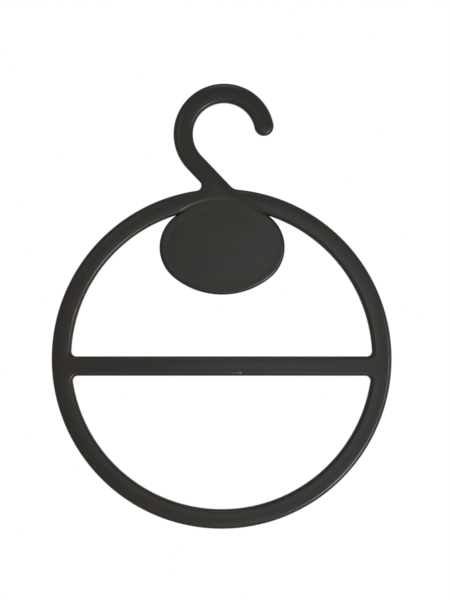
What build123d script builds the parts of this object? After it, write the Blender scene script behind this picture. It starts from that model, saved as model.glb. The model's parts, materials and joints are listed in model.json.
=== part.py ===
from build123d import *
import math
import os
from collections import namedtuple

# Scarf hanger: an open hook, a slanted neck, a ring, a bar across the ring and an oval badge plate.
# It is one moulding, made here as the members it divides into, which meet face to face.
# Millimetres. +X is right and +Z is up as the hanger hangs, and its front faces -Y. The origin is
# the centre of the hook's arc. The plan is the view from the front, and angles in it are in
# degrees, anticlockwise from +X.

# Band: the hook, neck, ring and bar all have this width and this soft, crowned section
band = 11.5
thickness = 6.4
crown_radius = 30.0
parting_land = 1.0

# Hook, and the neck that runs straight on from it to the middle of the ring's band
hook_seat_radius = 18.25
hook_tip_angle = 11.4
neck_angle = 223.7
neck_length = 29.57

# Ring, with its centre to one side of the hook's, and the bar, placed from the ring's centre
ring_outer_radius = 100.0
ring_offset = -1.4
crossbar_drop = 4.3

# Corner radii in the plan
crossbar_corner = 3.0
neck_tight_corner = 3.0
neck_open_corner = 7.0

# Badge plate: an oval of four arcs that laps the ring's band, with a shallow dish in its front
badge_half_width = 36.85
badge_half_height = 27.85
badge_end_radius = 23.0
badge_offset = 0.3
badge_lap = 4.85
badge_recess = 0.5
badge_edge_round = 2.0
badge_rim = 2.0
badge_dish_slope = 3.0
badge_dish_depth = 0.1

# Soft step from the ring's face down to the plate, and how far above that face it would level out
step_width = 1.9
step_runout = 0.03

# How far a cutting shape runs past what it cuts
overrun = 4.0

right_angle = 90
half_turn = 180

half_band = band / 2
half_thickness = thickness / 2
badge_half_thickness = half_thickness - badge_recess
front = Vector(0, -1, 0)
hook_radius = hook_seat_radius + half_band
ring_radius = ring_outer_radius - half_band
ring_inner_radius = ring_outer_radius - band


def direction(angle):
    """Unit vector in the plan."""
    return Vector(math.cos(math.radians(angle)), 0, math.sin(math.radians(angle)))


hook_centre = Vector()
neck_run = neck_angle + right_angle
neck_start = hook_centre + direction(neck_angle) * hook_radius
neck_end = neck_start + direction(neck_run) * neck_length
ring_drop = math.sqrt(ring_radius**2 - (neck_end.X - ring_offset) ** 2)
ring_centre = Vector(ring_offset, 0, neck_end.Z - ring_drop)
crossbar_middle = ring_centre - Vector(0, 0, crossbar_drop)
badge_rise = ring_inner_radius + badge_lap - badge_half_height
badge_centre = ring_centre + Vector(badge_offset, 0, badge_rise)
badge_front = badge_centre + front * badge_half_thickness


def ring_angle(point):
    """Angle of a point about the ring's centre, from a quarter turn below +X."""
    offset = point - ring_centre
    angle = math.degrees(math.atan2(offset.Z, offset.X))
    return (angle + right_angle) % (2 * half_turn) - right_angle


def plan_plane(centre):
    """Plane of the plan through a point, facing the front."""
    return Plane(origin=centre, x_dir=direction(0), z_dir=front)


def section_plane(point, run_angle):
    """Plane square to a band's run, with local X to the right of the run."""
    return Plane(origin=point, x_dir=direction(run_angle - right_angle), z_dir=direction(run_angle))


# Sections, drawn with local X across the band and local Y through its thickness


def shoulder_radius():
    """Radius that rounds a crowned face into the side and leaves the parting land flat there."""
    rise = crown_radius - half_thickness + parting_land / 2
    return (crown_radius**2 - half_band**2 - rise**2) / (2 * (crown_radius - half_band))


def band_section():
    """Crowned front and back, round shoulders and a narrow land on each side."""
    blank = Rectangle(band, thickness)
    for face in (1, -1):
        blank &= Pos(0, face * (half_thickness - crown_radius)) * Circle(crown_radius)
    return fillet(blank.vertices(), shoulder_radius())


def half_section(side):
    """Half of the band section, to the right of its middle for side 1 and to the left for -1."""
    return band_section() & Pos(side * half_band / 2, 0) * Rectangle(half_band, thickness)


def edge_section(plateau):
    """Left half of the band section, carried on level past its middle."""
    return half_section(-1) + Pos(plateau / 2, 0) * Rectangle(plateau, thickness)


# Runs of band


def straight_half(start, end, run_angle, side):
    """Half of a straight band along a stretch of its centre line."""
    return extrude(section_plane(start, run_angle) * half_section(side), amount=(end - start).length)


def turned(section, centre, radius, start_angle, sweep):
    """Section turned about a centre in the plan, with its local X pointing outward."""
    start = centre + direction(start_angle) * radius
    return revolve(section_plane(start, start_angle + right_angle) * section, Axis(centre, front), sweep)


def ring_arc(section, start_angle, end_angle):
    """Stretch of the ring, or of its inner or outer half."""
    return turned(section, ring_centre, ring_radius, start_angle, end_angle - start_angle)


# Corners where a straight band runs into the ring

Corner = namedtuple("Corner", "foot angle web")


def on_circle(point, run, radius, from_outside):
    """Where a straight line reaches a circle about the ring's centre."""
    offset = point - ring_centre
    along = offset.dot(run)
    half_chord = math.sqrt(radius**2 - offset.dot(offset) + along**2)
    return point + run * (-along - half_chord if from_outside else -along + half_chord)


def corner(point, run_angle, side, radius, from_outside):
    """Corner to the right, for side 1, or left of a straight band where it runs into the ring.

    Its foot is where the straight edge ends, on the band's centre line, and its angle is where the
    ring's edge ends. Its web fills the plan between there and the two centre lines: the band's own
    edge turned about the centre of the corner radius, and level beyond the crown.
    """
    run = direction(run_angle)
    across = direction(run_angle - right_angle * side)
    reach = half_band + radius
    outward = -1 if from_outside else 1
    centre_circle = ring_radius - outward * reach
    centre = on_circle(point + across * reach, run, centre_circle, from_outside)
    foot = centre - across * reach
    meeting = on_circle(point, run, ring_radius, from_outside)
    far_end = ring_centre + direction(ring_angle(centre)) * (ring_radius + outward * overrun)
    area = make_face(Polyline(centre, foot, meeting + run * overrun, far_end, close=True))
    disc = make_face(Edge.make_circle(ring_radius, plan_plane(ring_centre)))
    area = area - disc if from_outside else area & disc
    edge = edge_section((meeting - centre).length - reach)
    web = turned(edge, centre, reach, run_angle, 2 * half_turn) & extrude(area, amount=thickness, both=True)
    return Corner(foot, ring_angle(centre), web)


def crossbar_corner_at(run_angle, side):
    """One of the bar's four corners."""
    return corner(crossbar_middle, run_angle, side, crossbar_corner, False)


# Badge plate and its place in the ring


BadgeArc = namedtuple("BadgeArc", "centre radius start sweep")


def badge_arcs():
    """The oval's right end, top, left end and bottom, about its own centre."""
    end_offset = badge_half_width - badge_end_radius
    end_height = badge_half_height - badge_end_radius
    flat_offset = (end_offset**2 - end_height**2) / (2 * end_height)
    flat_radius = badge_half_height + flat_offset
    joint = math.degrees(math.atan2(flat_offset, end_offset))
    right_end = BadgeArc(Vector(end_offset, 0), badge_end_radius, -joint, 2 * joint)
    top = BadgeArc(Vector(0, -flat_offset), flat_radius, joint, half_turn - 2 * joint)
    left_end = BadgeArc(Vector(-end_offset, 0), badge_end_radius, half_turn - joint, 2 * joint)
    bottom_flat = BadgeArc(Vector(0, flat_offset), flat_radius, half_turn + joint, half_turn - 2 * joint)
    return [right_end, top, left_end, bottom_flat]


def badge_oval(margin):
    """Outline of the badge plate, made larger or smaller all round."""
    return make_face([CenterArc(a.centre, a.radius + margin, a.start, a.sweep) for a in badge_arcs()])


def step_section():
    """Space above the step, with local X outward from the oval: two equal arcs, hollow then round."""
    foot = Vector(0, badge_half_thickness)
    top = Vector(step_width, half_thickness + step_runout)
    middle = (foot + top) / 2
    hollow = TangentArc(foot, middle, tangent=(1, 0))
    swell = TangentArc(top, middle, tangent=(-1, 0))
    open_side = Polyline(foot, foot + Vector(0, overrun), top + Vector(0, overrun), top)
    space = make_face([hollow, swell, open_side])
    return space + mirror(space, Plane.XZ)


def badge_opening():
    """Oval hole through the ring's band, with the step turned along its edge at both faces."""
    hole = extrude(plan_plane(badge_centre) * badge_oval(0), amount=half_thickness + overrun, both=True)
    for arc in badge_arcs():
        centre = badge_centre + Vector(arc.centre.X, 0, arc.centre.Y)
        hole += turned(step_section(), centre, arc.radius, arc.start, arc.sweep)
    return hole


def badge_plate():
    """Oval plate with a round free edge and a dished front, and the thinned ring band that carries it."""
    outline = plan_plane(badge_centre) * badge_oval(0)
    slab = extrude(outline, amount=badge_half_thickness, both=True)
    seat = slab & ring_arc(band_section(), upper_right.angle, upper_left.angle)
    plate = fillet(slab.faces().filter_by(Axis.Y).edges(), badge_edge_round) + seat
    rim_level = plan_plane(badge_front)
    dish_mouth = rim_level * badge_oval(-badge_rim)
    dish_floor = rim_level.offset(-badge_dish_depth) * badge_oval(-badge_rim - badge_dish_slope)
    return plate - loft([dish_mouth, dish_floor])


# Members


def hook():
    """Open arc over the rail, with a full round end."""
    arc = turned(band_section(), hook_centre, hook_radius, hook_tip_angle, neck_angle - hook_tip_angle)
    tip_centre = hook_centre + direction(hook_tip_angle) * hook_radius
    return arc + turned(half_section(-1), tip_centre, 0, hook_tip_angle, half_turn)


def neck():
    """Slanted neck with its tight left and open right corner, and the stretch of ring below it."""
    body = straight_half(neck_start, tight.foot, neck_run, 1)
    body += straight_half(neck_start, open_right.foot, neck_run, -1)
    body += ring_arc(half_section(-1), open_right.angle, tight.angle)
    return body + tight.web + open_right.web - badge_opening()


def crossbar():
    """Straight bar with its four corners, and the stretch of ring outside each end."""
    body = straight_half(lower_left.foot, lower_right.foot, 0, 1)
    body += straight_half(upper_left.foot, upper_right.foot, 0, -1)
    for each in (lower_left, upper_left, lower_right, upper_right):
        body += each.web
    for first, last in ((lower_right, upper_right), (upper_left, lower_left)):
        body += ring_arc(half_section(1), first.angle, last.angle)
    return body


tight = corner(neck_start, neck_run, 1, neck_tight_corner, True)
open_right = corner(neck_start, neck_run, -1, neck_open_corner, True)
lower_right = crossbar_corner_at(0, 1)
upper_right = crossbar_corner_at(0, -1)
upper_left = crossbar_corner_at(half_turn, 1)
lower_left = crossbar_corner_at(half_turn, -1)
bottom = -right_angle

nodes = {
    "hook": hook(),
    "neck": neck(),
    "ring_upper_left": ring_arc(band_section(), tight.angle, upper_left.angle) - badge_opening(),
    "ring_upper_right": ring_arc(band_section(), upper_right.angle, open_right.angle) - badge_opening(),
    "ring_lower_left": ring_arc(band_section(), lower_left.angle, bottom + 2 * half_turn),
    "ring_lower_right": ring_arc(band_section(), bottom, lower_right.angle),
    "crossbar": crossbar(),
    "badge_plate": badge_plate(),
}

os.makedirs("parts", exist_ok=True)
for name, solid in nodes.items():
    export_step(solid, f"parts/{name}.step")
    print(name, "valid" if solid.is_valid else "NOT VALID", round(solid.volume), "mm3")
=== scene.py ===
import bmesh
import bpy
import json
import math
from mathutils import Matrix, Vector, noise

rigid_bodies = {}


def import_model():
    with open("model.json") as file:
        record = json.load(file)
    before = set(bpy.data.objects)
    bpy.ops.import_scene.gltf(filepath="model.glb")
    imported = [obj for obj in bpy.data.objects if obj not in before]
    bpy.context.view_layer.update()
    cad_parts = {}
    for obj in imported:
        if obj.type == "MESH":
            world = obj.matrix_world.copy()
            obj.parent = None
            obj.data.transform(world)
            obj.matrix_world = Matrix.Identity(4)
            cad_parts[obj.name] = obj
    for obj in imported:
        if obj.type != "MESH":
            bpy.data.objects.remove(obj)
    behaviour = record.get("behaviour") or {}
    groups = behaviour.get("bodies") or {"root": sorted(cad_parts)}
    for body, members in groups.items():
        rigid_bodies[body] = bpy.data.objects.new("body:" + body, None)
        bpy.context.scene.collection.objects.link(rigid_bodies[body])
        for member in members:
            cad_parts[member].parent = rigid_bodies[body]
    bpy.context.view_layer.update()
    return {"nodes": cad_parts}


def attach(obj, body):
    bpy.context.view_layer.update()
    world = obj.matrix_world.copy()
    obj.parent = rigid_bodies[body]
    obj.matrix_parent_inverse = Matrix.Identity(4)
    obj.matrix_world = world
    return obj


for existing in list(bpy.data.objects):
    bpy.data.objects.remove(existing)
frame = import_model()
scene = bpy.context.scene

# Places on the hanger, in metres: the centres of its ring and hook, the direction of its neck
RING_CENTRE = (-0.0014, 0.0, -0.132103)
HOOK_CENTRE = (0.0, 0.0, 0.0)
RING_RADIUS = 0.09425
HOOK_RADIUS = 0.024
NECK_ANGLE = math.radians(-46.3)

# Camera: square on. The photograph takes in 264.9 x 353.1 mm of the plan.
VIEW_CENTRE = Vector((0.000589, 0.0, -0.09753))
VIEW_HEIGHT = 0.3531
LENS = 76.0
SENSOR = 36.0
camera_data = bpy.data.cameras.new("camera")
camera_data.lens = LENS
camera_data.sensor_width = SENSOR
distance = VIEW_HEIGHT / 2 / (SENSOR / 2 / LENS)
camera = bpy.data.objects.new("camera", camera_data)
camera.location = VIEW_CENTRE + Vector((0.0, -distance, 0.0))
camera.rotation_euler = (math.radians(90), 0.0, 0.0)
scene.collection.objects.link(camera)
scene.camera = camera


class Graph:
    """A node tree with short calls for adding and joining nodes."""

    def __init__(self, owner):
        owner.use_nodes = True
        self.tree = owner.node_tree
        self.tree.nodes.clear()

    def add(self, kind, **settings):
        node = self.tree.nodes.new("ShaderNode" + kind)
        for key, value in settings.items():
            setattr(node, key, value)
        return node

    def join(self, source, target):
        self.tree.links.new(source, target)

    def put(self, target, value):
        if isinstance(value, bpy.types.NodeSocket):
            self.join(value, target)
        else:
            target.default_value = value

    def math(self, operation, first, second=0.0):
        node = self.add("Math", operation=operation)
        self.put(node.inputs[0], first)
        self.put(node.inputs[1], second)
        return node.outputs[0]

    def vector(self, operation, first, second):
        node = self.add("VectorMath", operation=operation)
        self.put(node.inputs[0], first)
        self.put(node.inputs[1], second)
        return node.outputs[0]

    def noise(self, vector, scale, detail=2.0, roughness=0.5):
        node = self.add("TexNoise")
        self.join(vector, node.inputs["Vector"])
        node.inputs["Scale"].default_value = scale
        node.inputs["Detail"].default_value = detail
        node.inputs["Roughness"].default_value = roughness
        return node.outputs["Fac"]

    def ramp(self, value, low, high, to_low=0.0, to_high=1.0):
        node = self.add("MapRange", interpolation_type="SMOOTHSTEP")
        self.put(node.inputs["Value"], value)
        limits = {"From Min": low, "From Max": high, "To Min": to_low, "To Max": to_high}
        for key, number in limits.items():
            node.inputs[key].default_value = number
        return node.outputs["Result"]

    def bump(self, height, depth, below=None):
        node = self.add("Bump")
        node.inputs["Strength"].default_value = 1.0
        node.inputs["Distance"].default_value = depth
        self.join(height, node.inputs["Height"])
        if below is not None:
            self.join(below, node.inputs["Normal"])
        return node.outputs["Normal"]

    def blend(self, factor, low, high):
        node = self.add("Mix", data_type="RGBA")
        self.join(factor, node.inputs["Factor"])
        node.inputs["A"].default_value = low
        node.inputs["B"].default_value = high
        return [socket for socket in node.outputs if socket.type == "RGBA"][0]

    def plastic(self, colour, roughness, normal, specular):
        """Finish the tree as a plastic's surface."""
        shader = self.add("BsdfPrincipled")
        self.join(colour, shader.inputs["Base Color"])
        self.join(roughness, shader.inputs["Roughness"])
        self.join(normal, shader.inputs["Normal"])
        shader.inputs["Specular IOR Level"].default_value = specular
        self.join(shader.outputs[0], self.add("OutputMaterial").inputs["Surface"])

    def background(self, colour, strength):
        node = self.add("Background")
        node.inputs["Color"].default_value = colour
        node.inputs["Strength"].default_value = strength
        return node.outputs[0]


# Plastic: its tone to the left, a greyer tone to the right that is partly its own and partly painted
# cool light, and the two tones of the torn gate scar
BROWN = (0.0138, 0.0103, 0.0074, 1.0)
GREY_AND_PAINTED_COOL = (0.0110, 0.0110, 0.0092, 1.0)
TORN_DARK = (0.020, 0.019, 0.016, 1.0)
TORN_PALE = (0.044, 0.044, 0.040, 1.0)

# Its relief, in metres, and its noises: how many of their waves go into a metre along and across
SWELL_HEIGHT = 0.00016
LINE_HEIGHT = 0.000012
GRAIN_HEIGHT = 0.0000035
WITNESS_HEIGHT = 0.00004
FIBRE_HEIGHT = 0.000020
CLOUD_SCALE = 22.0
SWELL_SCALE = 55.0
GRAIN_SCALE = 3600.0
STRESS_SCALE = 1500.0
LINE_STRETCH = (26.0, 900.0, 900.0)
SMEAR_STRETCH = (18.0, 160.0, 160.0)
FIBRE_STRETCH = (900.0, 2600.0, 2600.0)

# Where painted cool light turns the tone greyer from left to right and by how much, and where the
# witness line fades
PAINTED_COOL_START = -0.09
PAINTED_COOL_END = 0.07
PAINTED_COOL_SHARE = 0.55
WITNESS_HALF_WIDTH = 0.00004
WITNESS_FADE = 0.00016

# Its gloss: roughness and strength of reflection, and how much duller the witness line is
SATIN = 0.24
SATIN_SPECULAR = 0.2
TORN_SPECULAR = 0.5
WITNESS_DULLING = 0.15


def turning(graph, point, centre, radius):
    """Coordinates that follow an arc: along it, through its thickness and across it."""
    offset = graph.vector("SUBTRACT", point, centre)
    parts = graph.add("SeparateXYZ")
    graph.join(offset, parts.inputs[0])
    angle = graph.math("ARCTAN2", parts.outputs["Z"], parts.outputs["X"])
    flat = graph.vector("MULTIPLY", offset, (1.0, 0.0, 1.0))
    reach = graph.add("VectorMath", operation="LENGTH")
    graph.join(flat, reach.inputs[0])
    joined = graph.add("CombineXYZ")
    graph.join(graph.math("MULTIPLY", angle, radius), joined.inputs["X"])
    graph.join(parts.outputs["Y"], joined.inputs["Y"])
    graph.join(reach.outputs["Value"], joined.inputs["Z"])
    return joined.outputs[0]


def straight(graph, point, angle):
    """Coordinates that follow a straight band at an angle in the plan, in the same order."""
    turn = graph.add("VectorRotate", rotation_type="Y_AXIS")
    graph.join(point, turn.inputs["Vector"])
    turn.inputs["Angle"].default_value = angle
    return turn.outputs[0]


def satin_plastic(name, flow, streak):
    """Moulded brown-black plastic.

    flow gives coordinates of which the first runs as the melt did, and streak is how strongly the
    melt's lines show.
    """
    material = bpy.data.materials.new(name)
    graph = Graph(material)
    point = graph.add("TexCoord").outputs["Object"]
    along = flow(graph, point)

    # Colour: brown-black towards the left, greyer towards the right, faintly clouded. The greying to
    # the right is partly the plastic's own tone and partly painted cool light falling from the right
    place = graph.add("SeparateXYZ")
    graph.join(point, place.inputs[0])
    painted_cool_drift = graph.ramp(place.outputs["X"], PAINTED_COOL_START, PAINTED_COOL_END)
    cloud = graph.noise(point, CLOUD_SCALE, detail=3.0, roughness=0.55)
    clouded = graph.ramp(cloud, 0.30, 0.70, to_low=-0.05, to_high=0.50)
    tone_and_painted_cool = graph.math("ADD", graph.math("MULTIPLY", painted_cool_drift, PAINTED_COOL_SHARE), clouded)
    tone = graph.blend(tone_and_painted_cool, BROWN, GREY_AND_PAINTED_COOL)

    # Flow lines left by the melt, and the fine even grain of the mould's surface
    lines = graph.noise(graph.vector("MULTIPLY", along, LINE_STRETCH), 1.0, detail=3.0, roughness=0.6)
    smear = graph.noise(graph.vector("MULTIPLY", along, SMEAR_STRETCH), 1.0)
    grain = graph.noise(point, GRAIN_SCALE, roughness=0.6)
    swell = graph.noise(point, SWELL_SCALE, detail=1.0)

    # Roughness: satin, with duller flow lines and handling marks
    sleek, dull = SATIN - 0.02 * streak, SATIN + 0.04 * streak
    rough = graph.ramp(lines, 0.25, 0.75, to_low=sleek, to_high=dull)
    rough = graph.math("ADD", rough, graph.ramp(smear, 0.35, 0.75, to_low=-0.02, to_high=0.05))
    rough = graph.math("ADD", rough, graph.ramp(grain, 0.55, 0.80, to_high=0.05))

    # A witness line where the two halves of the mould met, round the middle of the edge
    off_middle = graph.math("ABSOLUTE", place.outputs["Y"])
    witness = graph.ramp(off_middle, WITNESS_HALF_WIDTH, WITNESS_FADE, to_low=1.0, to_high=0.0)
    rough = graph.math("ADD", rough, graph.math("MULTIPLY", witness, WITNESS_DULLING))

    normal = graph.bump(swell, SWELL_HEIGHT)
    normal = graph.bump(lines, LINE_HEIGHT * streak, normal)
    normal = graph.bump(grain, GRAIN_HEIGHT, normal)
    normal = graph.bump(witness, WITNESS_HEIGHT, normal)
    graph.plastic(tone, rough, normal, SATIN_SPECULAR)
    return material


def torn_plastic(name):
    """The same plastic where it was broken off at the gate: paler, ragged and bare of grain."""
    material = bpy.data.materials.new(name)
    graph = Graph(material)
    point = graph.add("TexCoord").outputs["Object"]
    fibres = graph.noise(graph.vector("MULTIPLY", point, FIBRE_STRETCH), 1.0, detail=3.0, roughness=0.6)
    stress = graph.noise(point, STRESS_SCALE)
    tone = graph.blend(graph.ramp(stress, 0.35, 0.65), TORN_DARK, TORN_PALE)
    rough = graph.ramp(fibres, 0.30, 0.70, to_low=0.16, to_high=0.28)
    graph.plastic(tone, rough, graph.bump(fibres, FIBRE_HEIGHT), TORN_SPECULAR)
    return material


ring_plastic = satin_plastic("satin_ring", lambda g, p: turning(g, p, RING_CENTRE, RING_RADIUS), 0.6)
hook_plastic = satin_plastic("satin_hook", lambda g, p: turning(g, p, HOOK_CENTRE, HOOK_RADIUS), 0.5)
neck_plastic = satin_plastic("satin_neck", lambda g, p: straight(g, p, NECK_ANGLE), 0.5)
bar_plastic = satin_plastic("satin_bar", lambda g, p: p, 0.9)
plate_plastic = satin_plastic("satin_plate", lambda g, p: p, 0.1)
finishes = {
    "hook": hook_plastic,
    "neck": neck_plastic,
    "ring_upper_left": ring_plastic,
    "ring_upper_right": ring_plastic,
    "ring_lower_left": ring_plastic,
    "ring_lower_right": ring_plastic,
    "crossbar": bar_plastic,
    "badge_plate": plate_plastic,
}
for name, finish in finishes.items():
    for material_slot in frame["nodes"][name].material_slots:
        material_slot.material = finish


# Band of the bar: its middle line, half thickness, half parting land, and the arcs of its section
BAR_MIDDLE = -0.136403
HALF_THICKNESS = 0.0032
HALF_LAND = 0.0005
CROWN_RADIUS = 0.030
SHOULDER_RADIUS = 0.002508
SHOULDER_OFFSET = 0.003242
SHOULDER_START = 0.003537

# Gate scar: where the plastic was let into the mould, on the lower front shoulder of the bar. It is a
# low nub with a ragged root to its left. The patch starts at its left foot and lies just under the
# band's face except at the lumps. Each lump is its place, its half widths and its height.
SCAR_LEFT = 0.0040
SCAR_FOOT = -0.14150
SCAR_WIDTH = 0.0072
SCAR_TALL = 0.0024
SCAR_COLUMNS = 66
SCAR_ROWS = 26
SCAR_DEPTH = 0.0004
SCAR_SINK = 0.00006
SCAR_LIMIT = 0.003195
RAGGED_HEIGHT = 0.00002
RAGGED_SCALE = 1800.0
LUMPS = (
    (0.00930, -0.14025, 0.00046, 0.00042, 0.00034),
    (0.00770, -0.14022, 0.00036, 0.00034, 0.00011),
    (0.00450, -0.14045, 0.00044, 0.00030, 0.00012),
    (0.00660, -0.14050, 0.00150, 0.00022, 0.00007),
)


def band_face(offset):
    """Distance from the middle of the thickness to the band's face, off the band's middle line."""
    if offset < SHOULDER_START:
        return HALF_THICKNESS - CROWN_RADIUS + math.sqrt(CROWN_RADIUS**2 - offset**2)
    return HALF_LAND + math.sqrt(SHOULDER_RADIUS**2 - (offset - SHOULDER_OFFSET) ** 2)


def scar_face(x, z):
    """Distance from the middle of the thickness to the front of the patch."""
    height = -SCAR_SINK
    for at_x, at_z, wide, tall, peak in LUMPS:
        height += peak * math.exp(-(((x - at_x) / wide) ** 2 + ((z - at_z) / tall) ** 2) / 2)
    height += RAGGED_HEIGHT * noise.noise(Vector((x, 0.0, z)) * RAGGED_SCALE)
    return min(band_face(abs(z - BAR_MIDDLE)) + height, SCAR_LIMIT)


def gate_scar():
    """Closed patch of even thickness with the scar as its front."""
    mesh = bmesh.new()
    layers = []
    for depth in (0.0, SCAR_DEPTH):
        grid = []
        for i in range(SCAR_COLUMNS + 1):
            x = SCAR_LEFT + SCAR_WIDTH * i / SCAR_COLUMNS
            heights = [SCAR_FOOT + SCAR_TALL * j / SCAR_ROWS for j in range(SCAR_ROWS + 1)]
            grid.append([mesh.verts.new((x, depth - scar_face(x, z), z)) for z in heights])
        layers.append(grid)
    front, back = layers
    for i in range(SCAR_COLUMNS):
        for j in range(SCAR_ROWS):
            mesh.faces.new((front[i][j], front[i + 1][j], front[i + 1][j + 1], front[i][j + 1]))
            mesh.faces.new((back[i][j + 1], back[i + 1][j + 1], back[i + 1][j], back[i][j]))
    for i in range(SCAR_COLUMNS):
        for j, (a, b) in ((0, (i, i + 1)), (SCAR_ROWS, (i + 1, i))):
            mesh.faces.new((back[a][j], back[b][j], front[b][j], front[a][j]))
    for j in range(SCAR_ROWS):
        for i, (a, b) in ((0, (j + 1, j)), (SCAR_COLUMNS, (j, j + 1))):
            mesh.faces.new((back[i][a], back[i][b], front[i][b], front[i][a]))
    for face in mesh.faces:
        face.smooth = True
    data = bpy.data.meshes.new("gate_mark")
    mesh.to_mesh(data)
    mesh.free()
    data.materials.append(torn_plastic("torn_gate"))
    piece = bpy.data.objects.new("gate_mark", data)
    scene.collection.objects.link(piece)
    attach(piece, "root")


gate_scar()


def soft_light(name, right, up, reach, size, power, colour):
    """Round light aimed at the hanger from so many degrees to the right and up, seen from the front."""
    data = bpy.data.lights.new(name, "AREA")
    data.shape = "DISK"
    data.size = size
    data.energy = power
    data.color = colour
    light = bpy.data.objects.new(name, data)
    az, el = math.radians(right), math.radians(up)
    away = Vector((math.sin(az) * math.cos(el), -math.cos(az) * math.cos(el), math.sin(el)))
    light.location = VIEW_CENTRE + away * reach
    light.rotation_euler = (-away).to_track_quat("-Z", "Y").to_euler()
    scene.collection.objects.link(light)


# Lights: degrees to the right and up, distance and size in metres, watts
COOL = (0.95, 0.98, 0.97)
WARM = (1.0, 0.97, 0.92)
soft_light("key", 35.3, -30.0, 1.6, 0.5, 16.3, COOL)
soft_light("side", 44.6, -7.1, 0.9, 0.3, 2.0, COOL)
soft_light("lower", 26.6, -37.8, 0.9, 0.3, 1.3, COOL)
soft_light("below", 2.8, -34.9, 0.9, 0.26, 0.5, COOL)
soft_light("top", 0.0, 50.0, 0.9, 0.3, 1.0, WARM)
soft_light("above_lens", 4, 4, 0.75, 0.2, 0.12, COOL)
soft_light("under_lens", 4, -8, 0.75, 0.2, 0.19, COOL)
soft_light("right_of_lens", 16, 4, 0.75, 0.2, 0.08, COOL)
soft_light("left_of_lens", -20, 16, 0.75, 0.2, 0.16, COOL)


# Surroundings: white where they are seen or reflected, and a weak warm fill
FILL_STRENGTH = 0.15
world = bpy.data.worlds.new("studio")
scene.world = world
graph = Graph(world)
path = graph.add("LightPath")
seen = graph.math("MAXIMUM", path.outputs["Is Camera Ray"], path.outputs["Is Glossy Ray"])
seen = graph.math("MAXIMUM", seen, path.outputs["Is Transmission Ray"])
mix = graph.add("MixShader")
graph.join(seen, mix.inputs[0])
graph.join(graph.background((*WARM, 1.0), FILL_STRENGTH), mix.inputs[1])
graph.join(graph.background((1.0, 1.0, 1.0, 1.0), 1.0), mix.inputs[2])
graph.join(mix.outputs[0], graph.add("OutputWorld").inputs["Surface"])

scene.view_settings.view_transform = "Standard"
